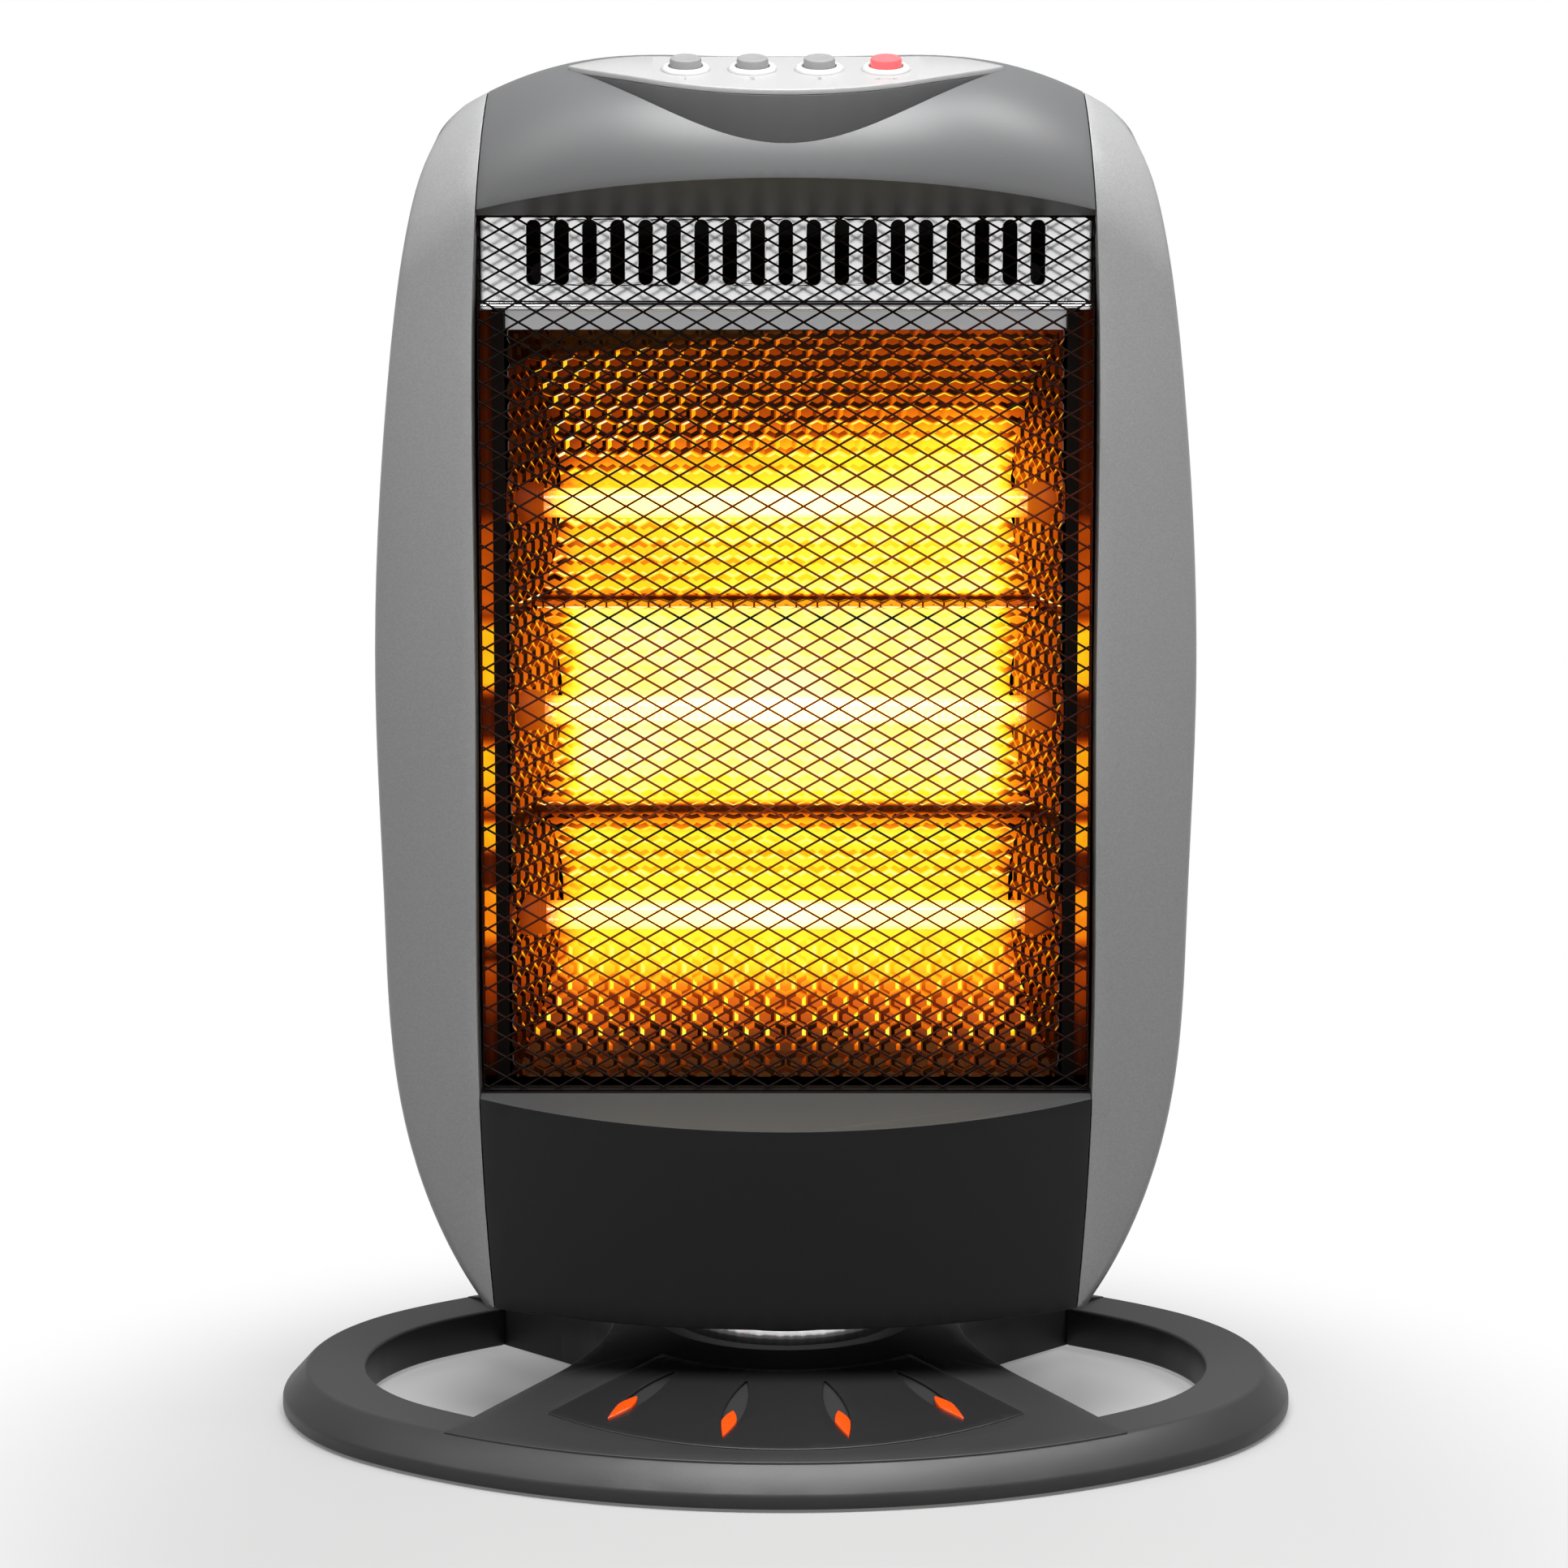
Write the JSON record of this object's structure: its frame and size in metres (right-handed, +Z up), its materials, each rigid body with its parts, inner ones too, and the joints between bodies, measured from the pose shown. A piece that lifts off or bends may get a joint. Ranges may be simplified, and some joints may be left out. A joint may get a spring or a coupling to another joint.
{
  "type": "quartz heater",
  "caption": "Free-standing quartz heater with mesh-guarded reflector and tubes, silver side panels, push-button top and a swinging head on an open oval base.",
  "frame": {"origin": "on the floor, under the middle of the oval base and on the spindle's axis", "axes": "+Z up along the height, the heat opening faces -Y, +X to the right seen from the front"},
  "size_m": [0.35, 0.258, 0.4736],
  "materials": {
    "ring_grey": "fine grain, dark grey",
    "bridge_black": "fine grain, near black",
    "inlay_graphite": "smooth graphite",
    "accent_orange": "clear glossy orange",
    "foot_rubber": "matt rubber",
    "silver_lacquer": "silver lacquer on moulded shell",
    "smoke_grey": "satin smoke grey",
    "cover_black": "satin black",
    "panel_grey": "light grey, smooth",
    "button_grey": "mid grey",
    "button_red": "clear red",
    "chassis_steel": "zinc-plated steel",
    "guard_wire": "bright wire",
    "bright_sheet": "bright sheet steel",
    "bright_rod": "polished rod",
    "mirror_sheet": "embossed bright aluminium, lit by the tubes",
    "carrier_black": "black, heat resistant",
    "quartz": "clear quartz",
    "hot_wire": "glowing resistance wire",
    "cap_ceramic": "unglazed ceramic",
    "drive_nylon": "natural nylon",
    "fitting_black": "black moulded fitting",
    "lead_cover": "red-brown insulated leads"
  },
  "bodies": {
    "base": {"base_ring": "ring_grey", "base_bridge": "bridge_black", "bridge_inlay": "inlay_graphite", "accent_inserts": "accent_orange", "rubber_feet": "foot_rubber", "swivel_disc": "silver_lacquer", "swivel_screws": "chassis_steel", "spindle": "chassis_steel", "spindle_gear": "drive_nylon", "spindle_nut": "chassis_steel", "slip_ring": "drive_nylon"},
    "head": {"bottom_cover": "cover_black", "button_collars": "button_grey", "control_panel": "panel_grey", "control_pod": "smoke_grey", "cord_gland": "fitting_black", "floor_plate": "cover_black", "grip_cup": "cover_black", "heat_shield": "bright_sheet", "left_carrier": "carrier_black", "left_cheek": "mirror_sheet", "left_panel": "silver_lacquer", "lower_coil": "hot_wire", "lower_tube": "quartz", "mesh_guard": "guard_wire", "middle_coil": "hot_wire", "middle_tube": "quartz", "motor_bracket": "chassis_steel", "motor_screws": "chassis_steel", "rear_cover": "cover_black", "rear_screws": "chassis_steel", "reflector": "mirror_sheet", "right_carrier": "carrier_black", "right_cheek": "mirror_sheet", "right_panel": "silver_lacquer", "shield_screws": "chassis_steel", "swing_motor": "chassis_steel", "switch_bank": "fitting_black", "terminal_block": "fitting_black", "thermal_cutout": "bright_sheet", "tip_switch": "fitting_black", "tip_switch_bracket": "chassis_steel", "top_cover": "smoke_grey", "trim_rod": "bright_rod", "trim_strip": "bright_sheet", "tube_caps": "cap_ceramic", "upper_coil": "hot_wire", "upper_tube": "quartz", "vent_plate": "bright_sheet", "wiring": "lead_cover"},
    "tip_plunger": {"tip_plunger": "drive_nylon"},
    "drive_pinion": {"drive_pinion": "drive_nylon"},
    "button_low": {"button_low": "button_grey"},
    "button_medium": {"button_medium": "button_grey"},
    "button_high": {"button_high": "button_grey"},
    "button_swing": {"button_swing": "button_red"}
  },
  "joints": [
    {"name": "head_swing", "type": "hinge", "parent": "base", "child": "head", "pos_m": [0, 0, 0.046], "axis": [0, 0, 1], "range_deg": [-30, 30]},
    {"name": "pinion_spin", "type": "hinge", "parent": "head", "child": "drive_pinion", "pos_m": [0, 0.0304, 0.0523], "axis": [0, 0, 1], "range_deg": [-95, 95]},
    {"name": "tip_plunger_drop", "type": "slide", "parent": "base", "child": "tip_plunger", "axis": [0, 0, -1], "range_m": [0, 0.005]},
    {"name": "button_low_press", "type": "slide", "parent": "head", "child": "button_low", "axis": [0, 0.1736, -0.9848], "range_m": [0, 0.003], "stiffness_N_per_m": 400},
    {"name": "button_medium_press", "type": "slide", "parent": "head", "child": "button_medium", "axis": [0, 0.1736, -0.9848], "range_m": [0, 0.003], "stiffness_N_per_m": 400},
    {"name": "button_high_press", "type": "slide", "parent": "head", "child": "button_high", "axis": [0, 0.1736, -0.9848], "range_m": [0, 0.003], "stiffness_N_per_m": 400},
    {"name": "button_swing_press", "type": "slide", "parent": "head", "child": "button_swing", "axis": [0, 0.1736, -0.9848], "range_m": [0, 0.003], "stiffness_N_per_m": 400}
  ],
  "couplings": [
    {"joint": "pinion_spin", "follows": "head_swing", "ratio": 3}
  ]
}
